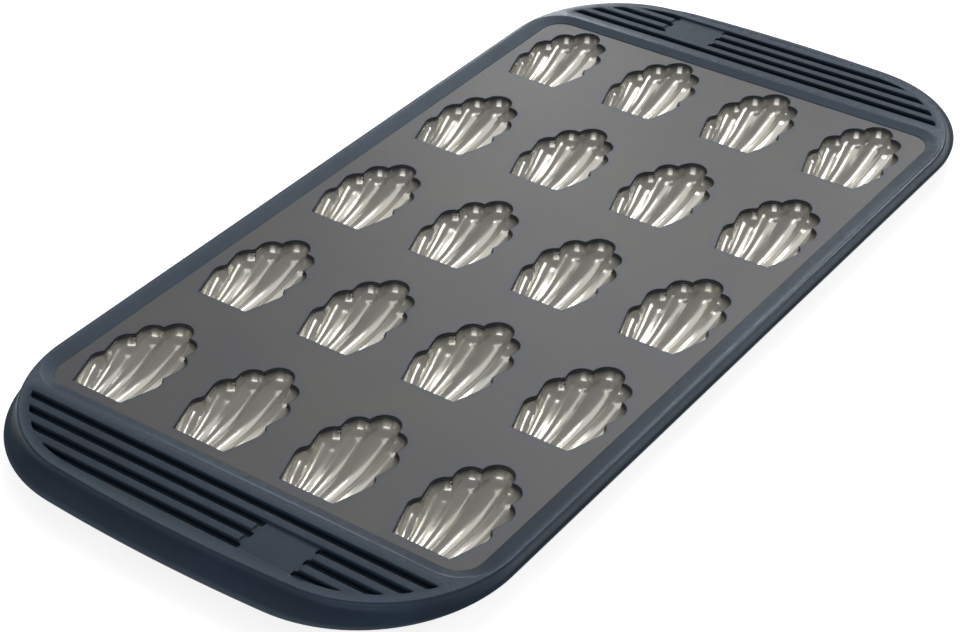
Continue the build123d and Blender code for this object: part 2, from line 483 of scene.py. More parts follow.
@dataclass(frozen=True)
class SatinSheetFinish:
    """Rolled grey sheet with a satin skin, painted faint blue shade round the openings and painted dark
    shade on their edges.
    """

    slot: str = "web"
    base: Colour = linear(70, 70, 72)
    warm: Colour = linear(75, 74, 72)
    # Painted blue shade round the openings.
    opening_shade: Colour = linear(63, 68, 79)
    # Near-black painted shade on the openings' edges.
    edge: Colour = linear(20, 21, 24)
    roughness: float = 0.42
    metallic: float = 0.15
    specular: float = 0.35
    cloud_scale: float = 26.0
    rolled_scale: float = 520.0
    rolled_stretch: Triple = (1.0, 14.0, 1.0)
    grain_scale: float = 3200.0
    bump: float = 0.006

    def material(self) -> bpy.types.Material:
        """Builds the satin sheet."""
        bench = NodeBench("satin_sheet")
        clouds = bench.noise(self.cloud_scale, 4.0)
        rolled = bench.noise(self.rolled_scale, 3.0, self.rolled_stretch)
        grain = bench.noise(self.grain_scale, 2.0)
        colour = bench.tint(bench.span(clouds, 0.35, 0.65, 0.0, 1.0), self.base, self.warm)
        # Painted blue shade fading out from each opening.
        colour = bench.tint(bench.span(bench.mark("painted_light_and_wear"), 0.0, 0.6, 0.0, 0.7), colour, self.opening_shade)
        # Painted shade: the openings' rounded edges turn near black.
        colour = bench.tint(bench.span(bench.mark("painted_light_and_wear"), 0.6, 0.95, 0.0, 1.0), colour, self.edge)
        bench.join(colour, bench.shader.inputs["Base Color"])
        rough = bench.span(rolled, 0.3, 0.7, self.roughness - 0.05, self.roughness + 0.06)
        bench.join(rough, bench.shader.inputs["Roughness"])
        bench.set(Metallic=self.metallic, Specular_IOR_Level=self.specular)
        bench.bump([(rolled, self.bump), (grain, self.bump)])
        return bench.material


@dataclass(frozen=True)
class PressedCupFinish:
    """Bright pressed metal, warm grey, with faint draw lines and a band of painted dark shade round the
    rim.
    """

    slot: str = "shell_cup"
    base: Colour = linear(180, 178, 171)
    warm: Colour = linear(185, 181, 170)
    # Near-black painted shade round the cup's rim.
    rim_shade: Colour = linear(16, 16, 17)
    roughness: float = 0.19
    metallic: float = 0.5
    cloud_scale: float = 90.0
    drawn_scale: float = 900.0
    drawn_stretch: Triple = (0.12, 1.0, 1.0)
    grain_scale: float = 4200.0
    drawn_bump: float = 0.0025
    grain_bump: float = 0.001

    def material(self) -> bpy.types.Material:
        """Builds the pressed metal."""
        bench = NodeBench("pressed_cup_metal")
        clouds = bench.noise(self.cloud_scale, 4.0)
        drawn = bench.noise(self.drawn_scale, 3.0, self.drawn_stretch)
        grain = bench.noise(self.grain_scale, 2.0)
        colour = bench.tint(bench.span(clouds, 0.35, 0.65, 0.0, 1.0), self.base, self.warm)
        # Painted shade: the rim's rounding, hem and the top of the wall turn near black.
        colour = bench.tint(bench.span(bench.mark("painted_light_and_wear"), 0.0, 0.9, 0.0, 1.0), colour, self.rim_shade)
        bench.join(colour, bench.shader.inputs["Base Color"])
        rough = bench.span(clouds, 0.3, 0.7, self.roughness - 0.04, self.roughness + 0.07)
        bench.join(rough, bench.shader.inputs["Roughness"])
        bench.set(Metallic=self.metallic)
        bench.bump([(drawn, self.drawn_bump), (grain, self.grain_bump)])
        return bench.material


@dataclass(frozen=True)
class BrushedWireFinish:
    """Drawn steel wire, brushed along its length."""

    slot: str = "wire"
    base: Colour = linear(150, 152, 156)
    dark: Colour = linear(110, 112, 116)
    roughness: float = 0.32
    drawn_scale: float = 1500.0
    drawn_stretch: Triple = (0.2, 1.0, 1.0)
    drawn_bump: float = 0.01

    def material(self) -> bpy.types.Material:
        """Builds the brushed steel."""
        bench = NodeBench("brushed_wire_steel")
        drawn = bench.noise(self.drawn_scale, 3.0, self.drawn_stretch)
        bench.join(bench.tint(drawn, self.base, self.dark), bench.shader.inputs["Base Color"])
        rough = bench.span(drawn, 0.3, 0.7, self.roughness - 0.08, self.roughness + 0.1)
        bench.join(rough, bench.shader.inputs["Roughness"])
        bench.set(Metallic=1.0)
        bench.bump([(drawn, self.drawn_bump)])
        return bench.material


@dataclass(frozen=True)
class PaleFloorFinish:
    """Plain pale floor that reads as white and still takes the pan's shadow."""

    colour: Colour = (0.52, 0.52, 0.52)
    speckle_share: float = 0.985
    speckle_scale: float = 700.0
    roughness: float = 0.9
    lift: float = 0.8

    def material(self) -> bpy.types.Material:
        """Builds the floor."""
        bench = NodeBench("pale_floor")
        speckle = bench.noise(self.speckle_scale, 3.0)
        darker = tuple(self.speckle_share * part for part in self.colour)
        shade = bench.tint(speckle, self.colour, darker)
        bench.join(shade, bench.shader.inputs["Base Color"])
        bench.set(Roughness=self.roughness, Specular_IOR_Level=0.0)
        path = bench.add("ShaderNodeLightPath")
        seen = bench.math("MAXIMUM", path.outputs["Is Camera Ray"], path.outputs["Is Glossy Ray"])
        seen = bench.math("MAXIMUM", seen, path.outputs["Is Transmission Ray"])
        glow = bench.add("ShaderNodeEmission")
        bench.join(bench.math("MULTIPLY", seen, self.lift), glow.inputs["Strength"])
        both = bench.add("ShaderNodeAddShader")
        bench.join(bench.shader.outputs["BSDF"], both.inputs[0])
        bench.join(glow.outputs["Emission"], both.inputs[1])
        bench.join(both.outputs["Shader"], bench.end.inputs["Surface"])
        return bench.material


@dataclass(frozen=True)
class PanLayout:
    """Levels and places that the sub-assemblies share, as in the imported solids."""

    cups_along: int = 5
    cups_across: int = 4
    pitch_along: float = 58.0
    pitch_across: float = 41.7
    row_shift: float = 1.2
    cup_length: float = 41.2
    web_underside: float = 10.05
    web_top: float = 11.05
    crest_level: float = 12.45
    foot_level: float = 7.45

    def cup_place(self, row: int, column: int) -> tuple[float, float]:
        """X and Y of the middle of one cup's straight end.

        Args:
            row: Row of the cup, from the +Y side.
            column: Column of the cup, from the -X end.

        Returns:
            The place in plan.
        """
        along = self.pitch_along * (column - (self.cups_along - 1) / 2)
        across = self.pitch_across * ((self.cups_across - 1) / 2 - row)
        return self.row_shift - self.cup_length / 2 + along, across


class Flute:
    """One trough of a shell cup, from the straight end to its round tip."""

    STEEP_OUTSIDE = 4.0

    def __init__(
        self,
        start: tuple[float, float],
        tip: tuple[float, float],
        radii: Sequence[float],
        bottoms: Sequence[float],
    ) -> None:
        """Sets out the trough.

        Args:
            start: X and Y where its middle line begins.
            tip: X and Y of the middle of its round tip.
            radii: Half widths at even steps along it.
            bottoms: Depths of its floor at even steps along it.
        """
        self.start = np.array(start)
        run = np.array(tip) - self.start
        self.length = float(np.hypot(*run))
        self.run = run / self.length
        self.left = np.array((-self.run[1], self.run[0]))
        self.radius = SmoothCurve(radii)
        self.bottom = SmoothCurve(bottoms)

    def middle(self, share: np.ndarray) -> np.ndarray:
        """Point of the middle line at a share of its length, also beyond its ends."""
        return self.start + np.multiply.outer(np.asarray(share) * self.length, self.run)

    def reach(self, plan: np.ndarray) -> tuple[np.ndarray, np.ndarray]:
        """Share along the flute and distance from its middle line or its tip.

        Args:
            plan: X and Y of the points.

        Returns:
            The share and the distance of each point.
        """
        away = np.asarray(plan) - self.start
        share = away @ self.run / self.length
        beyond = np.maximum(share - 1.0, 0.0) * self.length
        return share, np.hypot(away @ self.left, beyond)

    def depth(self, plan: np.ndarray, grow: float) -> np.ndarray:
        """Depth of the trough at points in plan.

        Args:
            plan: X and Y of the points.
            grow: How far the surface is moved outwards.

        Returns:
            The depth of each point below the rim, falling off steeply outside the trough.
        """
        share, reach = self.reach(plan)
        radius = self.radius(share) + grow
        room = radius**2 - reach**2
        arch = np.where(
            room > 0.0, np.sqrt(np.maximum(room, 0.0)), -self.STEEP_OUTSIDE * (reach - radius)
        )
        return self.bottom(share) + grow - radius + arch

    def holds(self, plan: np.ndarray, grow: float) -> np.ndarray:
        """True where points in plan are inside the trough's mouth."""
        share, reach = self.reach(plan)
        return reach < self.radius(share) + grow

    def edge(self, turn: np.ndarray, grow: float) -> np.ndarray:
        """Points of the mouth's edge.

        Args:
            turn: From -1 to 1 round the tip; past that, back along a side.
            grow: How far the edge is moved outwards.

        Returns:
            X and Y of each point.
        """
        turn = np.atleast_1d(np.asarray(turn, float))
        angle = np.clip(turn, -1.0, 1.0) * math.pi / 2
        share = 1.0 - np.maximum(np.abs(turn) - 1.0, 0.0)
        radius = self.radius(share) + grow
        out = np.multiply.outer(np.cos(angle), self.run) + np.multiply.outer(np.sin(angle), self.left)
        return self.middle(share) + out * radius[:, None]


@dataclass
class ShellForm:
    """The shell surface of a cup, inner or outer, laid out as one patch for each flute.

    A patch's rows run from the straight end to its tip, and its columns run
    across it, from one ridge to the next, so that the ridges stay crisp.
    """

    TURN_REACH = 1.9
    TURN_STEPS = 3801
    HALVINGS = 40
    RIDGE_SEARCH = 2.5
    RIDGE_SCAN = (-0.1, 0.6, 1401)
    SIDE_SCAN = (0.0, 1.0, 3001)
    CREASE_SCAN = (-3.0, 3.0, 1201)
    CORNER_SCAN = (0.0, 0.4, 1601)
    EVEN_SHARE = 0.45
    EXTRA_STEPS = (0.012, 0.028)

    grow: float = 0.0
    length: float = 41.2
    half_width: float = 13.9
    depth: float = 9.6
    wall_lean: float = 2.2
    start_run: float = 2.0
    columns_per_flute: int = 12
    wall_rows: int = 6
    flute_rows: tuple[int, ...] = (40, 40, 34, 24)
    ridge_softness: float = 0.5
    floor_softness: float = 1.1
    deepest: float = 99.0
    tip_along: tuple[float, ...] = (0.879, 0.769, 0.570, 0.306)
    tip_across: tuple[float, ...] = (0.0, 0.460, 0.669, 0.719)
    start_across: tuple[float, ...] = (0.0, 0.252, 0.432, 0.532)
    radii: tuple[tuple[float, ...], ...] = (
        (0.230, 0.281, 0.324, 0.353, 0.360, 0.360),
        (0.129, 0.169, 0.209, 0.245, 0.281, 0.309),
        (0.122, 0.155, 0.191, 0.237, 0.288, 0.331),
        (0.122, 0.151, 0.187, 0.223, 0.252, 0.281),
    )
    bottoms: tuple[tuple[float, ...], ...] = (
        (0.730, 0.950, 1.000, 0.950, 0.790, 0.540),
        (0.690, 0.890, 0.930, 0.865, 0.710, 0.470),
        (0.580, 0.770, 0.810, 0.750, 0.645, 0.500),
        (0.440, 0.560, 0.610, 0.580, 0.500, 0.420),
    )
    flutes: list[Flute] = field(init=False)
    turns: list[tuple[float, float]] = field(init=False)
    patches: list[np.ndarray] = field(init=False)
    depths: list[np.ndarray] = field(init=False)

    def __post_init__(self) -> None:
        """Lays out the flutes, their patches in plan and the depths."""
        count = len(self.tip_along)
        self.flutes = []
        for place in range(1 - count, count):
            kind, hand = abs(place), math.copysign(1.0, place)
            self.flutes.append(
                Flute(
                    (-self.start_run, hand * self.start_across[kind] * self.half_width),
                    (self.tip_along[kind] * self.length, hand * self.tip_across[kind] * self.half_width),
                    [share * self.half_width for share in self.radii[kind]],
                    [share * self.depth for share in self.bottoms[kind]],
                )
            )
        self.turns = self.tip_turns()
        self.patches = [self.lay_out(place) for place in range(len(self.flutes))]
        self.depths = [self.depth_at(patch) for patch in self.patches]
        for depths in self.depths:
            depths[0] = 0.0

    def wall_depth(self, along: np.ndarray) -> np.ndarray:
        """Depth of the leaning wall of the straight end at an X."""
        return (np.asarray(along) + self.grow) * self.depth / self.wall_lean

    def depth_at(self, plan: np.ndarray) -> np.ndarray:
        """Depth of the whole shell surface at points in plan.

        Args:
            plan: X and Y of the points.

        Returns:
            The depth of each point below the rim.
        """
        total = self.flutes[0].depth(plan, self.grow)
        for flute in self.flutes[1:]:
            total = soft_max(total, flute.depth(plan, self.grow), self.ridge_softness)
        walled = -soft_max(-total, -self.wall_depth(plan[..., 0]), self.floor_softness)
        return np.clip(walled, 0.0, self.deepest)

    def tip_turns(self) -> list[tuple[float, float]]:
        """Where each flute's round tip begins and ends, between its neighbours.

        Returns:
            The two turns of each flute, for Flute.edge.
        """
        scan = np.linspace(-self.TURN_REACH, self.TURN_REACH, self.TURN_STEPS)
        last = len(self.flutes) - 1
        turns = []
        for place, flute in enumerate(self.flutes):
            edge = flute.edge(scan, self.grow)
            free = np.ones(len(scan), bool)
            if place == 0:
                free &= scan >= -1.0
            if place == last:
                free &= scan <= 1.0
            for other in (place - 1, place + 1):
                if 0 <= other <= last:
                    free &= ~self.flutes[other].holds(edge, self.grow)
            changes = np.flatnonzero(np.diff(np.concatenate(([0], free.astype(int), [0]))))
            spans = changes.reshape(-1, 2)
            low, high = spans[int(np.argmax(spans[:, 1] - spans[:, 0]))]
            turns.append((float(scan[low]), float(scan[high - 1])))
        return turns

    def ridge(self, place: int, end: np.ndarray, steps: np.ndarray) -> np.ndarray:
        """Ridge between a flute and the next one.

        Args:
            place: Number of the first flute.
            end: X and Y of the notch where the ridge meets the rim.
            steps: Shares along the ridge, from the straight end to the notch.

        Returns:
            X and Y at each step.
        """
        hand = 1 if place >= len(self.flutes) // 2 else -1
        pair = (self.flutes[place], self.flutes[place + 1])
        inner, outer = pair if hand > 0 else pair[::-1]

        def on_ridge(share: np.ndarray) -> np.ndarray:
            """Point of equal depth on the line square to the outer flute at a share."""
            radius = outer.radius(share) + self.grow
            beyond = np.maximum(share - 1.0, 0.0) * outer.length
            low = -np.sqrt(np.maximum(radius**2 - beyond**2, 0.0))
            high = self.RIDGE_SEARCH * radius
            for _ in range(self.HALVINGS):
                between = (low + high) / 2
                spot = outer.middle(share) - hand * between[:, None] * outer.left
                outside = outer.depth(spot, self.grow) > inner.depth(spot, self.grow)
                low = np.where(outside, between, low)
                high = np.where(outside, high, between)
            return spot

        last = float(outer.reach(end)[0])
        scan = np.linspace(*self.RIDGE_SCAN)
        spots = on_ridge(scan)
        low_enough = self.wall_depth(spots[:, 0]) >= outer.depth(spots, self.grow)
        first_share = scan[int(np.argmax(low_enough))]
        line = on_ridge(first_share + (last - first_share) * steps)
        line[-1] = end
        return line

    def outer_side(self, hand: int, steps: np.ndarray) -> np.ndarray:
        """Outer edge of the outermost flute on one side.

        Args:
            hand: -1 for the first flute, 1 for the last.
            steps: Shares along it, from the straight end to the tip.

        Returns:
            X and Y at each step.
        """
        flute = self.flutes[0 if hand < 0 else -1]
        scan = np.linspace(*self.SIDE_SCAN)
        spots = flute.edge(hand * (2.0 - scan), self.grow)
        deep = flute.bottom(scan) - flute.radius(scan)
        first_share = scan[int(np.argmax(self.wall_depth(spots[:, 0]) >= deep))]
        return flute.edge(hand * (2.0 - (first_share + (1.0 - first_share) * steps)), self.grow)

    def kind(self, place: int) -> int:
        """Kind of a flute: 0 for the middle one, and one more for each step outwards."""
        return abs(place - len(self.flutes) // 2)

    def steps(self, count: int) -> np.ndarray:
        """Shares along a line, closer together near both of its ends."""
        even = np.linspace(0.0, 1.0, count - len(self.EXTRA_STEPS))
        bunched = self.EVEN_SHARE * even + (1.0 - self.EVEN_SHARE) * np.sin(even * math.pi / 2)
        return np.unique(np.concatenate((bunched, self.EXTRA_STEPS)))

    def shared_ridge(self, first: int) -> np.ndarray:
        """Ridge between a flute and the next one, as both of their patches use it."""
        outer = max(self.kind(first), self.kind(first + 1))
        notch = self.flutes[first].edge(self.turns[first][1], self.grow)[0]
        return self.ridge(first, notch, self.steps(self.flute_rows[outer]))

    def side_line(self, place: int, hand: int) -> np.ndarray:
        """Line on one side of a flute's patch.

        Args:
            place: Number of the flute.
            hand: -1 for its first side, 1 for its last.

        Returns:
            X and Y of the line's points, from the straight end to the tip.
        """
        count = self.flute_rows[self.kind(place)]
        if not 0 <= place + hand < len(self.flutes):
            return self.outer_side(hand, self.steps(count))
        line = self.shared_ridge(min(place, place + hand))
        free = count - len(line)
        if free > 0:
            turn = self.turns[place][0 if hand < 0 else 1]
            bare = self.flutes[place].edge(np.linspace(turn, hand, free + 1)[1:], self.grow)
            line = np.concatenate((line, bare))
        return line

    def lay_out(self, place: int) -> np.ndarray:
        """Lays out the patch of one flute in plan.

        Args:
            place: Number of the flute.

        Returns:
            X and Y of each point, by row and column.
        """
        flute = self.flutes[place]
        hand = place - len(self.flutes) // 2
        left, right = self.side_line(place, -1), self.side_line(place, 1)
        steps = self.steps(len(left))
        low, high = (float(np.clip(turn, -1.0, 1.0)) for turn in self.turns[place])
        count = self.columns_per_flute
        columns = [left]
        for column in range(1, count):
            even = column / count
            share = even
            if hand < 0:
                share = 1.0 - math.sin((1.0 - even) * math.pi / 2)
            if hand > 0:
                share = math.sin(even * math.pi / 2)
            line = (1.0 - share) * left + share * right
            rim = flute.edge(low + (high - low) * even, self.grow)[0]
            line = line + np.multiply.outer(steps**3, rim - line[-1])
            line = line + np.multiply.outer((1.0 - steps) ** 3, self.to_crease(flute, line[0]))
            columns.append(line)
        columns.append(right)
        grid = np.stack(columns, axis=1)
        return np.concatenate((self.wall_part(grid[0]), grid))

    def to_crease(self, flute: Flute, spot: np.ndarray) -> np.ndarray:
        """Shift along a flute that takes a point to the foot of the straight end's wall."""
        scan = np.linspace(*self.CREASE_SCAN)
        spots = spot + np.multiply.outer(scan, flute.run)
        met = self.wall_depth(spots[:, 0]) >= flute.depth(spots, self.grow)
        return scan[int(np.argmax(met))] * flute.run

    def wall_part(self, crease: np.ndarray) -> np.ndarray:
        """Rows of the straight end's wall, from its straight top edge to its foot.

        Args:
            crease: X and Y of the wall's foot at each column.

        Returns:
            X and Y of the rows, without the foot itself.
        """
        scan = np.linspace(*self.CORNER_SCAN)
        edge = self.flutes[-1].edge(2.0 - scan, self.grow)
        corner = edge[int(np.argmax(edge[:, 0] >= -self.grow)), 1]
        foot = self.outer_side(1, np.zeros(1))[0, 1]
        top = np.stack((np.full(len(crease), -self.grow), crease[:, 1] * corner / foot), axis=1)
        shares = np.linspace(0.0, 1.0, self.wall_rows + 1)[:-1]
        return top + shares[:, None, None] * (crease - top)

    def rim(self) -> list[tuple[int, int, int]]:
        """The ring of points on the rim.

        Returns:
            Patch, row and column of the ring's points, starting on the straight end's edge.
        """
        count = self.columns_per_flute
        last = len(self.flutes) - 1
        outermost = len(self.flute_rows) - 1
        ring = [(place, 0, column) for place in range(last + 1) for column in range(count)]
        rows = len(self.patches[last])
        ring += [(last, row, count) for row in range(rows)]
        for place in range(last, -1, -1):
            rows = len(self.patches[place])
            free = rows - self.wall_rows - self.flute_rows[min(self.kind(place) + 1, outermost)]
            bare = [(place, rows - step, count) for step in range(free, 1, -1)]
            if place < last and self.kind(place) > 0 and place > last // 2:
                ring += bare
            ring += [(place, rows - 1, column) for column in range(count, 0, -1)]
            if 0 < place < last // 2:
                ring += [(place, rows - 1 - step, 0) for step in range(free)]
        ring += [(0, row, 0) for row in range(len(self.patches[0]) - 1, 0, -1)]
        return [spot for step, spot in enumerate(ring) if spot != ring[step - 1]]

    def rim_plan(self) -> np.ndarray:
        """X and Y of the ring of points on the rim."""
        return np.array([self.patches[place][row, column] for place, row, column in self.rim()])

    def rim_depths(self) -> np.ndarray:
        """Depth of each point of the ring on the rim."""
        return np.array([self.depths[place][row, column] for place, row, column in self.rim()])


@dataclass
class ShellCups:
    """Twenty pressed shell cups, each with a hem under the web sheet."""

    layout: PanLayout = field(default_factory=PanLayout)
    finish: PressedCupFinish = field(default_factory=PressedCupFinish)
    wall: float = 0.8
    hem_width: float = 2.4
    rim_round: float = 0.25
    outer_softness: float = 1.2
    # Depth over which the painted rim shade fades.
    rim_shade_band: float = 0.8

    def surface(self, sketch: MeshSketch, form: ShellForm, least: float) -> list[int]:
        """Adds one shell surface.

        Args:
            sketch: The mesh that takes it.
            form: The laid-out surface.
            least: Least depth of any of its points.

        Returns:
            Point numbers of the ring on its rim.
        """
        grids = []
        for patch, depths in zip(form.patches, form.depths):
            # Painted shade along the top of the wall, fading with depth.
            rim_shade = np.clip(1.0 - depths / self.rim_shade_band, 0.0, 1.0)
            rows = [
                sketch.row(plan, -np.maximum(depth, least), mark)
                for plan, depth, mark in zip(patch, depths, rim_shade)
            ]
            sketch.stack(rows, closed=False)
            grids.append(rows)
        return [grids[place][row][column] for place, row, column in form.rim()]

    def pressing(self) -> MeshSketch:
        """Builds one cup about its own straight end, with its rim at level zero.

        Returns:
            The cup's points and faces.
        """
        sketch = MeshSketch()
        inner = ShellForm()
        mouth = inner.rim_plan()
        depths = inner.rim_depths()
        rings = [self.surface(sketch, inner, 0.0)]
        # The rim's rounding, hem and outer rim ring carry painted dark shade.
        rings.append(sketch.row(mouth, -np.minimum(self.rim_round, depths), 0.4))
        half = self.rim_round * ROUND_MIDDLE
        rings.append(sketch.row(ShellForm(grow=half).rim_plan(), -half, 0.8))
        rings.append(sketch.row(ShellForm(grow=self.rim_round).rim_plan(), 0.0, 1.0))
        hem = ShellForm(grow=self.hem_width).rim_plan()
        rings.append(sketch.row(hem, 0.0, 1.0))
        rings.append(sketch.row(hem, -self.wall, 1.0))
        outer = ShellForm(
            grow=self.wall,
            ridge_softness=self.outer_softness,
            deepest=self.layout.web_underside,
        )
        rings.append(sketch.row(outer.rim_plan(), -self.wall, 0.6))
        rings.append(self.surface(sketch, outer, self.wall))
        sketch.stack(rings)
        return sketch

    def build(self) -> list[bpy.types.Object]:
        """Builds and dresses all the cups.

        Returns:
            The pieces, in the order of the rows.
        """
        master = self.pressing().make("shell_cup_master")
        material = self.finish.material()
        pieces = []
        for row in range(self.layout.cups_across):
            for column in range(self.layout.cups_along):
                x, y = self.layout.cup_place(row, column)
                name = f"shell_cup_row{row + 1}_column{column + 1}"
                mesh = master.data.copy()
                place = Vector((x, y, self.layout.web_underside)) * METRES_PER_MM
                mesh.transform(Matrix.Translation(place))
                mesh.materials.append(material)
                piece = bpy.data.objects.new(f"pressed_{name}", mesh)
                bpy.context.scene.collection.objects.link(piece)
                even_normals(piece)
                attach(piece, "root")
                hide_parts(name)
                pieces.append(piece)
        bpy.data.objects.remove(master)
        LOG.info("pressed %d shell cups", len(pieces))
        return pieces


def rounded_rectangle(
    half_length: float, half_width: float, radius: float, per_corner: int = 12
) -> np.ndarray:
    """Ring of a rectangle with round corners.

    Args:
        half_length: Half its size along X.
        half_width: Half its size along Y.
        radius: Radius of its corners.
        per_corner: Steps in each corner.

    Returns:
        X and Y of the ring's points.
    """
    quarter = np.linspace(0.0, math.pi / 2, per_corner + 1)
    ring = []
    for turn, (sx, sy) in enumerate(((1, 1), (-1, 1), (-1, -1), (1, -1))):
        centre = np.array((sx * (half_length - radius), sy * (half_width - radius)))
        angles = quarter + turn * math.pi / 2
        ring.append(centre + radius * np.stack((np.cos(angles), np.sin(angles)), axis=1))
    return np.concatenate(ring)


@dataclass
class WebSheet:
    """The flat sheet between the cups, with a shell-shaped opening over each cup.

    The painted shade's reach gives pairs: a distance from an opening's edge, and how
    strong the painted shade is there.
    """

    layout: PanLayout = field(default_factory=PanLayout)
    finish: SatinSheetFinish = field(default_factory=SatinSheetFinish)
    half_length: float = 142.7
    half_width: float = 84.4
    corner_radius: float = 15.0
    clearance: float = 0.3
    edge_round: float = 0.25
    opening_shade_reach: tuple[tuple[float, float], ...] = ((0.15, 0.6), (1.0, 0.4), (2.0, 0.18), (3.2, 0.0))

    def build(self) -> bpy.types.Object:
        """Builds and dresses the sheet.

        Returns:
            The sheet.
        """
        sketch = MeshSketch()
        top, under = self.layout.web_top, self.layout.web_underside
        outline = rounded_rectangle(self.half_length, self.half_width, self.corner_radius)
        half = self.edge_round * ROUND_MIDDLE
        steps = [(0.0, under), (0.0, top - self.edge_round), (half, top - half), (self.edge_round, top)]
        # Painted dark shade on each opening's wall and rounded edge, then painted blue shade fading
        # outwards.
        shade_marks = [0.4, 1.0, 1.0, 1.0]
        for reach, mark in self.opening_shade_reach:
            steps.append((self.edge_round + reach, top))
            shade_marks.append(mark)
        plans = [ShellForm(grow=self.clearance + reach).rim_plan() for reach, _ in steps]
        tops, bottoms = [], []
        for row in range(self.layout.cups_across):
            for column in range(self.layout.cups_along):
                place = np.array(self.layout.cup_place(row, column))
                rings = [
                    sketch.row(plan + place, level, mark)
                    for plan, (_, level), mark in zip(plans, steps, shade_marks)
                ]
                sketch.stack(rings)
                bottoms.append(rings[0])
                tops.append(rings[-1])
        edges = [sketch.row(outline, under), sketch.row(outline, top)]
        sketch.stack(edges)
        sketch.fill([edges[1], *tops], Side.UP)
        sketch.fill([edges[0], *bottoms], Side.DOWN)
        piece = sketch.make("satin_web_sheet")
        piece.data.materials.append(self.finish.material())
        even_normals(piece)
        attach(piece, "root")
        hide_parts("web_panel")
        LOG.info("rolled the web sheet: %d faces", len(piece.data.polygons))
        return piece


@dataclass(frozen=True)
class RoundedOutline:
    """Outline with straight sides, round corners and slightly bowed ends."""

    half_length: float
    half_width: float
    corner_radius: float
    end_radius: float = 650.0

    def corner(self) -> tuple[np.ndarray, float]:
        """Middle of the corner arc in the first quarter, and the turn where it begins."""
        across = self.half_width - self.corner_radius
        span = self.end_radius - self.corner_radius
        end_centre = self.half_length - self.end_radius
        along = end_centre + math.sqrt(span**2 - across**2)
        return np.array((along, across)), math.atan2(across, along - end_centre)

    def ring(self, end_steps: int = 10, corner_steps: int = 30, side_steps: int = 14) -> np.ndarray:
        """Closed ring of points.

        Args:
            end_steps: Steps in half a bowed end.
            corner_steps: Steps in a corner.
            side_steps: Steps in half a straight side.

        Returns:
            X and Y of the points, from the middle of the +X end and turning towards +Y.
        """
        centre, turn = self.corner()
        bow = np.linspace(0.0, turn, end_steps, endpoint=False)
        end = np.stack((np.cos(bow), np.sin(bow)), axis=1) * self.end_radius
        end[:, 0] += self.half_length - self.end_radius
        sweep = np.linspace(turn, math.pi / 2, corner_steps, endpoint=False)
        arc = centre + self.corner_radius * np.stack((np.cos(sweep), np.sin(sweep)), axis=1)
        straight = np.linspace(centre[0], 0.0, side_steps + 1)
        side = np.stack((straight, np.full(side_steps + 1, self.half_width)), axis=1)
        quarter = np.concatenate((end, arc, side))
        half = np.concatenate((quarter, (quarter * (-1.0, 1.0))[-2::-1]))
        return np.concatenate((half, (half * (1.0, -1.0))[-2:0:-1]))

    def across_at(self, along: np.ndarray) -> np.ndarray:
        """Y of the outline on the +Y side at an X between its corners' middles and its end."""
        centre, _ = self.corner()
        past = np.clip(np.abs(along) - centre[0], 0.0, self.corner_radius)
        return centre[1] + np.sqrt(self.corner_radius**2 - past**2)

    def inset(self, amount: float) -> "RoundedOutline":
        """The outline moved inwards."""
        return RoundedOutline(
            self.half_length - amount,
            self.half_width - amount,
            self.corner_radius - amount,
            self.end_radius,
        )


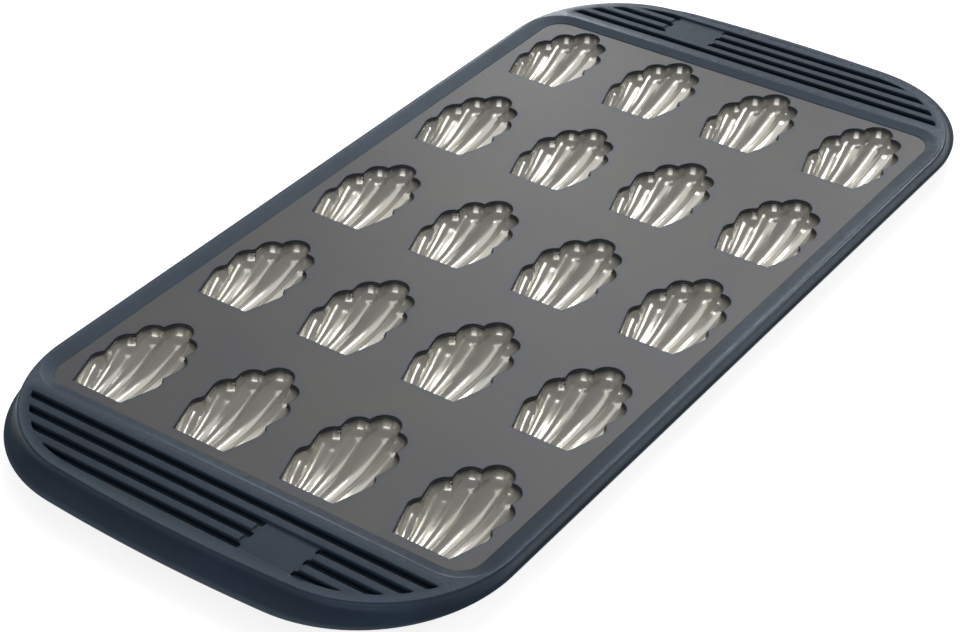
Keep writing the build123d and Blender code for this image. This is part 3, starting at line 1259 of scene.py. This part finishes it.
@dataclass
class GripPatch:
    """The ribbed field of one grip, with its grooves and its bare pad.

    The wall profile gives pairs: a distance inward from a mouth's edge, and
    the share of the full depth there.
    """

    first_groove: float = 149.0
    groove_pitch: float = 5.57
    grooves: int = 4
    half_groove: float = 1.3
    groove_corner: float = 0.7
    groove_depth: float = 1.8
    pad_first_groove: int = 1
    pad_depth: float = 0.8
    pad_middle: float = 31.0
    pad_half_width: float = 11.0
    pad_corner: float = 1.0
    pad_overlap: float = 1.4
    even_reach: float = 46.0
    even_lines: int = 25
    least_step: float = 0.02
    wall_profile: tuple[tuple[float, float], ...] = (
        (-0.42, 0.0),
        (-0.30, 0.012),
        (-0.16, 0.05),
        (-0.04, 0.14),
        (0.02, 0.26),
        (0.12, 0.72),
        (0.24, 0.90),
        (0.42, 0.98),
        (0.66, 1.0),
    )

    def share_down(self, inward: np.ndarray) -> np.ndarray:
        """Share of the full depth at a distance inward from a mouth's edge."""
        reach, share = np.array(self.wall_profile).T
        return np.interp(inward, reach, share)

    @staticmethod
    def box_inward(
        x: np.ndarray,
        y: np.ndarray,
        middle: tuple[float, float | np.ndarray],
        half: tuple[float, float | np.ndarray],
        corner: float,
    ) -> np.ndarray:
        """Distance inward from the edge of a box with round corners.

        Args:
            x: X of the points.
            y: Y of the points.
            middle: Middle of the box.
            half: Half sizes of the box.
            corner: Radius of its corners.

        Returns:
            The distance, negative outside the box.
        """
        out_x = np.abs(x - middle[0]) - (half[0] - corner)
        out_y = np.abs(y - middle[1]) - (half[1] - corner)
        outside = np.hypot(np.maximum(out_x, 0.0), np.maximum(out_y, 0.0))
        return corner - outside - np.minimum(np.maximum(out_x, out_y), 0.0)

    def depth(self, x: np.ndarray, y: np.ndarray, limit: np.ndarray) -> np.ndarray:
        """Depth of the field below the crest.

        Args:
            x: X of the points.
            y: Y of the points.
            limit: Y of the field's rounded end at each point's X.

        Returns:
            The depth of each point.
        """
        total = np.zeros_like(x)
        pad_low = self.pad_middle - self.pad_half_width
        pad_high = self.pad_middle + self.pad_half_width
        for groove in range(self.grooves):
            middle = self.first_groove + groove * self.groove_pitch
            spans = [(-limit, limit)]
            if groove >= self.pad_first_groove:
                spans = [(-limit, pad_low + self.pad_overlap), (pad_high - self.pad_overlap, limit)]
            for low, high in spans:
                centre = (middle, (low + high) / 2)
                half = (self.half_groove, (high - low) / 2)
                inward = self.box_inward(x, y, centre, half, self.groove_corner)
                total = np.maximum(total, self.groove_depth * self.share_down(inward))
        first = self.first_groove + self.pad_first_groove * self.groove_pitch - self.half_groove
        last = self.first_groove + (self.grooves - 1) * self.groove_pitch + self.half_groove
        centre = ((first + last) / 2, self.pad_middle)
        half = ((last - first) / 2, self.pad_half_width)
        inward = self.box_inward(x, y, centre, half, self.pad_corner)
        return np.maximum(total, self.pad_depth * self.share_down(inward))

    def lines_along(self) -> np.ndarray:
        """X of the field's grid lines, gathered on the walls of the grooves."""
        reach = np.array(self.wall_profile)[:, 0]
        lines = []
        for groove in range(self.grooves):
            middle = self.first_groove + groove * self.groove_pitch
            lines += [middle - self.half_groove + reach, (middle,), middle + self.half_groove - reach]
            if groove < self.grooves - 1:
                lines.append((middle + self.groove_pitch / 2,))
        return np.unique(np.round(np.concatenate(lines), 4))

    def lines_across(self) -> tuple[np.ndarray, np.ndarray]:
        """Grid lines across the field.

        Returns:
            Y of the even lines, and distances inward from the field's rounded end.
        """
        reach = np.array(self.wall_profile)[:, 0]
        low = self.pad_middle - self.pad_half_width
        high = self.pad_middle + self.pad_half_width
        lines = [np.linspace(-self.even_reach, self.even_reach, self.even_lines)]
        for edge, hand in ((low, 1.0), (high, -1.0)):
            lines.append(edge + hand * reach)
            lines.append(edge + hand * self.pad_overlap - hand * reach)
        even = np.unique(np.round(np.concatenate(lines), 3))
        keep = np.concatenate(([True], np.diff(even) > self.least_step))
        return even[keep], reach

    def grid(self, outline: RoundedOutline) -> tuple[np.ndarray, np.ndarray]:
        """Lays out the field of the +X grip.

        Args:
            outline: The rounded outline that the grooves end on.

        Returns:
            X and Y of each point, and its depth below the crest.
        """
        along = self.lines_along()
        even, reach = self.lines_across()
        limits = outline.across_at(along)
        rows = []
        for x, limit in zip(along, limits):
            ends = limit - reach
            filled = np.linspace(self.even_reach, ends[-1], 8)[1:-1]
            upper = np.sort(np.concatenate((filled, ends)))
            y = np.concatenate((-upper[::-1], even, upper))
            rows.append(np.stack((np.full(len(y), x), y), axis=1))
        plan = np.stack(rows)
        limit = np.broadcast_to(limits[:, None], plan.shape[:2])
        return plan, self.depth(plan[..., 0], plan[..., 1], limit)


@dataclass
class MouldedSurround:
    """The rubber surround: flared skirt, round crest, sloping ramp and two ribbed grips.

    The skirt's shares are heights above its foot. The ramp profile gives
    pairs: the share of the way out from the sheet, and of the way up to the
    crest. The recess profile gives pairs: how far the wall has drawn in, and
    the share of the full depth.
    """

    layout: PanLayout = field(default_factory=PanLayout)
    finish: RubberFinish = field(default_factory=RubberFinish)
    grip: GripPatch = field(default_factory=GripPatch)
    top_half_length: float = 172.5
    top_half_width: float = 88.4
    top_corner: float = 46.0
    foot_corner: float = 51.0
    end_flare: float = 8.0
    side_flare: float = 0.6
    end_flare_power: float = 1.85
    side_flare_top: float = 0.25
    side_flare_run: float = 0.10
    side_flare_power: float = 0.7
    skirt_shares: tuple[float, ...] = (0.86, 0.72, 0.58, 0.45, 0.34, 0.25, 0.19, 0.15, 0.12)
    crest_round: float = 0.9
    lip_round: float = 0.35
    rib_margin: float = 4.0
    sight: Triple = (139.5, 81.2, 8.0)
    ramp_top: Triple = (143.7, 87.1, 14.0)
    slot_side: Triple = (143.0, 84.7, 15.3)
    bed: Triple = (140.7, 82.4, 9.2)
    ramp_profile: tuple[tuple[float, float], ...] = (
        (1.0, 1.0),
        (0.955, 0.985),
        (0.90, 0.945),
        (0.82, 0.86),
        (0.6, 0.63),
        (0.35, 0.40),
        (0.12, 0.20),
        (0.035, 0.12),
        (0.0, 0.0),
    )
    recess_along: tuple[float, float] = (147.7, 166.4)
    recess_inset: tuple[float, float] = (5.0, 10.0)
    recess_depth: float = 1.6
    recess_profile: tuple[tuple[float, float], ...] = (
        (0.0, 0.0),
        (0.12, 0.25),
        (0.3, 0.82),
        (0.6, 0.97),
        (0.9, 1.0),
    )
    wire_radius: float = 1.05
    wire_inset: float = 2.6
    wire_level: float = 10.15
    wire_steps: int = 12

    def skirt_outline(self, end_share: float, side_share: float) -> RoundedOutline:
        """Outline of the skirt where it has flared by the given shares."""
        return RoundedOutline(
            self.top_half_length + end_share * self.end_flare,
            self.top_half_width + side_share * self.side_flare,
            self.top_corner + end_share * (self.foot_corner - self.top_corner),
        )

    def outside(self, sketch: MeshSketch) -> tuple[list[int], list[int]]:
        """Adds the crest's outer rounding and the skirt.

        Args:
            sketch: The mesh that takes them.

        Returns:
            Point numbers of the ring on the crest and of the ring on the underside.
        """
        top, foot = self.layout.crest_level, self.layout.foot_level
        crest = RoundedOutline(self.top_half_length, self.top_half_width, self.top_corner)
        rings = []
        for angle in np.radians(np.linspace(0.0, 90.0, 7)):
            ring = crest.inset(self.crest_round * (1.0 - math.sin(angle))).ring()
            drop = self.crest_round * (1.0 - math.cos(angle))
            # Painted highlight mixed with scuffs along the crest's rounding, strongest on top.
            rings.append(sketch.row(ring, top - drop, 1.0 - 0.6 * float(angle)))
        height = top - self.crest_round - foot
        for share in self.skirt_shares:
            end_share = (1.0 - share) ** self.end_flare_power
            side_run = float(np.clip((self.side_flare_top - share) / self.side_flare_run, 0.0, 1.0))
            ring = self.skirt_outline(end_share, side_run**self.side_flare_power).ring()
            rings.append(sketch.row(ring, foot + share * height, 0.0))
        lip = self.lip_round
        foot_outline = self.skirt_outline(1.0, 1.0)
        for angle in np.radians(np.linspace(0.0, 90.0, 4)):
            ring = foot_outline.inset(lip * (1.0 - math.cos(angle))).ring()
            # Half of the crest's painted highlight on the skirt's lip.
            rings.append(sketch.row(ring, foot + lip * (1.0 - math.sin(angle)), 0.5))
        sketch.stack(rings)
        return rings[0], rings[-1]

    def inside(self, sketch: MeshSketch) -> tuple[list[int], list[int]]:
        """Adds the ramp, the slot that holds the sheet's edge and the bed under it.

        Args:
            sketch: The mesh that takes them.

        Returns:
            Point numbers of the ring on the crest and of the ring on the underside.
        """
        top, web = self.layout.crest_level, self.layout.web_top
        sight = rounded_rectangle(*self.sight)
        ramp = rounded_rectangle(*self.ramp_top)
        rings = []
        for out, up in self.ramp_profile:
            ring = sight + (ramp - sight) * out
            # Painted highlight mixed with scuffs on the top quarter of the ramp.
            rings.append(sketch.row(ring, web + (top - web) * up, max(0.0, 4.0 * out - 3.0) * 0.9))
        under, foot = self.layout.web_underside, self.layout.foot_level
        slot = rounded_rectangle(*self.slot_side)
        bed = rounded_rectangle(*self.bed)
        rings.append(sketch.row(slot, web))
        rings.append(sketch.row(slot, under))
        rings.append(sketch.row(bed, under))
        rings.append(sketch.row(bed, foot))
        sketch.stack(rings)
        return rings[0], rings[-1]

    def ribbed_field(self, sketch: MeshSketch, side: Side) -> list[int]:
        """Adds the ribbed field of one grip.

        Args:
            sketch: The mesh that takes it.
            side: UP for the +X grip and DOWN for the -X one, its turned copy.

        Returns:
            Point numbers of the ring round the field.
        """
        outline = RoundedOutline(self.top_half_length, self.top_half_width, self.top_corner)
        plan, depths = self.grip.grid(outline.inset(self.rib_margin))
        plan = plan * side.value
        rows = []
        for line, depth in zip(plan, depths):
            # Painted shade in the grooves, down to -1 where they are deepest.
            painted_light_and_wear = -np.clip(depth / self.grip.groove_depth * 1.6 - 0.6, 0.0, 1.0)
            rows.append(sketch.row(line, self.layout.crest_level - depth, painted_light_and_wear))
        sketch.stack(rows, closed=False)
        ring = list(rows[0])
        ring += [row[-1] for row in rows[1:]]
        ring += rows[-1][-2::-1]
        ring += [row[0] for row in rows[-2:0:-1]]
        return ring

    def recess(self, sketch: MeshSketch, side: Side) -> list[int]:
        """Adds the shallow hollow under one grip.

        Args:
            sketch: The mesh that takes it.
            side: UP for the +X grip and DOWN for the -X one, its turned copy.

        Returns:
            Point numbers of the ring at its mouth.
        """
        low, high = self.recess_along
        limit = RoundedOutline(
            self.top_half_length - self.recess_inset[0],
            self.top_half_width - self.recess_inset[1],
            self.top_corner - self.recess_inset[0],
        )
        rings = []
        for draw, level in self.recess_profile:
            along = np.linspace(low + draw, high - draw, 14)
            across = limit.across_at(along) - draw
            upper = np.stack((along, across), axis=1)
            lower = np.stack((along, -across), axis=1)[::-1]
            ring = np.concatenate((upper, lower)) * side.value
            rings.append(sketch.row(ring, self.layout.foot_level + self.recess_depth * level))
        sketch.stack(rings)
        sketch.fill([rings[-1]], Side.DOWN)
        return rings[0]

    def wire_channel(self, sketch: MeshSketch) -> None:
        """Adds the closed round channel that the stiffening wire lies in."""
        sketch.start_inner_wall()
        outline = RoundedOutline(self.top_half_length, self.top_half_width, self.top_corner)
        rings = []
        for angle in np.linspace(0.0, 2.0 * math.pi, self.wire_steps, endpoint=False):
            inset = self.wire_inset + self.wire_radius * math.cos(angle)
            level = self.wire_level + self.wire_radius * math.sin(angle)
            rings.append(sketch.row(outline.inset(inset).ring(), level))
        sketch.stack([*rings, rings[0]])

    def build(self) -> bpy.types.Object:
        """Builds and dresses the surround.

        Returns:
            The surround.
        """
        sketch = MeshSketch()
        outer_top, outer_foot = self.outside(sketch)
        inner_top, inner_foot = self.inside(sketch)
        fields = [self.ribbed_field(sketch, side) for side in Side]
        sketch.fill([outer_top, inner_top, *fields], Side.UP)
        hollows = [self.recess(sketch, side) for side in Side]
        sketch.fill([outer_foot, inner_foot, *hollows], Side.DOWN)
        self.wire_channel(sketch)
        piece = sketch.make("moulded_surround", crease=55.0)
        piece.data.materials.append(self.finish.material())
        even_normals(piece)
        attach(piece, "root")
        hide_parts("silicone_surround")
        LOG.info("moulded the surround: %d faces", len(piece.data.polygons))
        return piece


@dataclass
class StiffeningWire:
    """The closed wire inside the surround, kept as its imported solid."""

    finish: BrushedWireFinish = field(default_factory=BrushedWireFinish)

    def dress(self) -> bpy.types.Object:
        """Gives the wire its steel.

        Returns:
            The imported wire.
        """
        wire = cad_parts["rim_wire"]
        wire.data.materials.clear()
        wire.data.materials.append(self.finish.material())
        LOG.info("dressed the stiffening wire")
        return wire


@dataclass(frozen=True)
class SoftLamp:
    """One rectangular soft lamp."""

    kind: LampKind
    place: Triple
    target: Triple
    size: tuple[float, float]
    power: float
    colour: Colour = (1.0, 1.0, 1.0)

    def hang(self) -> bpy.types.Object:
        """Hangs the lamp and aims it.

        Returns:
            The lamp.
        """
        light = bpy.data.lights.new(self.kind.value, "AREA")
        light.shape = "RECTANGLE"
        light.size, light.size_y = self.size
        light.energy = self.power
        light.color = self.colour
        lamp = bpy.data.objects.new(self.kind.value, light)
        lamp.location = self.place
        aim = Vector(self.target) - Vector(self.place)
        lamp.rotation_euler = aim.to_track_quat("-Z", "Y").to_euler()
        bpy.context.scene.collection.objects.link(lamp)
        return lamp


@dataclass
class Studio:
    """Pale floor, soft lamps, a plain grey surrounding and the camera."""

    floor_half: float = 6.0
    floor_divisions: int = 8
    floor_finish: PaleFloorFinish = field(default_factory=PaleFloorFinish)
    surrounding: Colour = (0.50, 0.51, 0.53)
    surrounding_strength: float = 0.52
    lamps: tuple[SoftLamp, ...] = (
        SoftLamp(LampKind.OVERHEAD, (0.45, 0.35, 0.72), (0.1, 0.06, 0.0), (0.85, 0.8), 2.9),
        SoftLamp(LampKind.FAR_STRIP, (1.2, 0.85, 0.62), (0.05, 0.0, 0.0), (0.14, 0.62), 2.4),
        SoftLamp(LampKind.SIDE_STRIP, (0.88, 0.17, 0.98), (0.0, 0.0, 0.0), (0.16, 0.9), 5.6),
        SoftLamp(LampKind.RAIL_STRIP, (1.0, -0.95, 0.55), (0.0, 0.0, 0.0), (0.34, 0.4), 4.4),
        SoftLamp(LampKind.NEAR_FILL, (-1.2, -0.4, 0.3), (0.0, 0.0, 0.0), (1.0, 0.5), 5.0),
    )
    eye: Triple = (-0.512212, -0.367872, 0.434783)
    right: Triple = (0.589219, -0.807712, -0.020548)
    down: Triple = (-0.479062, -0.328767, -0.813887)
    onward: Triple = (0.650631, 0.489401, -0.580660)
    lens: float = 85.846
    sensor: float = 36.0
    shift: float = 0.00186
    near_clip: float = 0.01
    far_clip: float = 50.0

    def lay_floor(self) -> bpy.types.Object:
        """Lays the floor as a divided sheet.

        Returns:
            The floor.
        """
        work = bmesh.new()
        divisions = self.floor_divisions
        bmesh.ops.create_grid(work, x_segments=divisions, y_segments=divisions, size=self.floor_half)
        mesh = bpy.data.meshes.new("pale_floor")
        work.to_mesh(mesh)
        work.free()
        mesh.materials.append(self.floor_finish.material())
        floor = bpy.data.objects.new("pale_floor", mesh)
        bpy.context.scene.collection.objects.link(floor)
        return floor

    def light(self) -> None:
        """Hangs the lamps and sets the surrounding."""
        for lamp in self.lamps:
            lamp.hang()
        world = bpy.data.worlds.new("plain_surrounding")
        world.use_nodes = True
        shader = world.node_tree.nodes["Background"]
        shader.inputs["Color"].default_value = (*self.surrounding, 1.0)
        shader.inputs["Strength"].default_value = self.surrounding_strength
        bpy.context.scene.world = world

    def place_camera(self) -> bpy.types.Object:
        """Places the camera.

        Returns:
            The camera.
        """
        data = bpy.data.cameras.new("studio_camera")
        data.lens = self.lens
        data.sensor_width = self.sensor
        data.shift_x = self.shift
        data.clip_start = self.near_clip
        data.clip_end = self.far_clip
        camera = bpy.data.objects.new("studio_camera", data)
        right, up, back = Vector(self.right), -Vector(self.down), -Vector(self.onward)
        turn = Matrix((right, up, back)).transposed().to_4x4()
        camera.matrix_world = Matrix.Translation(Vector(self.eye)) @ turn
        bpy.context.scene.collection.objects.link(camera)
        bpy.context.scene.camera = camera
        return camera

    def build(self) -> None:
        """Sets up the whole studio."""
        bpy.context.scene.view_settings.view_transform = "Standard"
        self.lay_floor()
        self.light()
        self.place_camera()
        LOG.info("set up the studio with %d lamps", len(self.lamps))


def write_sizes() -> None:
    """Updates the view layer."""
    bpy.context.view_layer.update()


def main() -> None:
    """Builds the pan's sub-assemblies in order, then the studio."""
    logging.basicConfig(level=logging.INFO, format="%(name)s: %(message)s")
    layout = PanLayout()
    Studio().build()
    ShellCups(layout).build()
    WebSheet(layout).build()
    MouldedSurround(layout).build()
    StiffeningWire().dress()
    write_sizes()


if __name__ == "__main__":
    main()
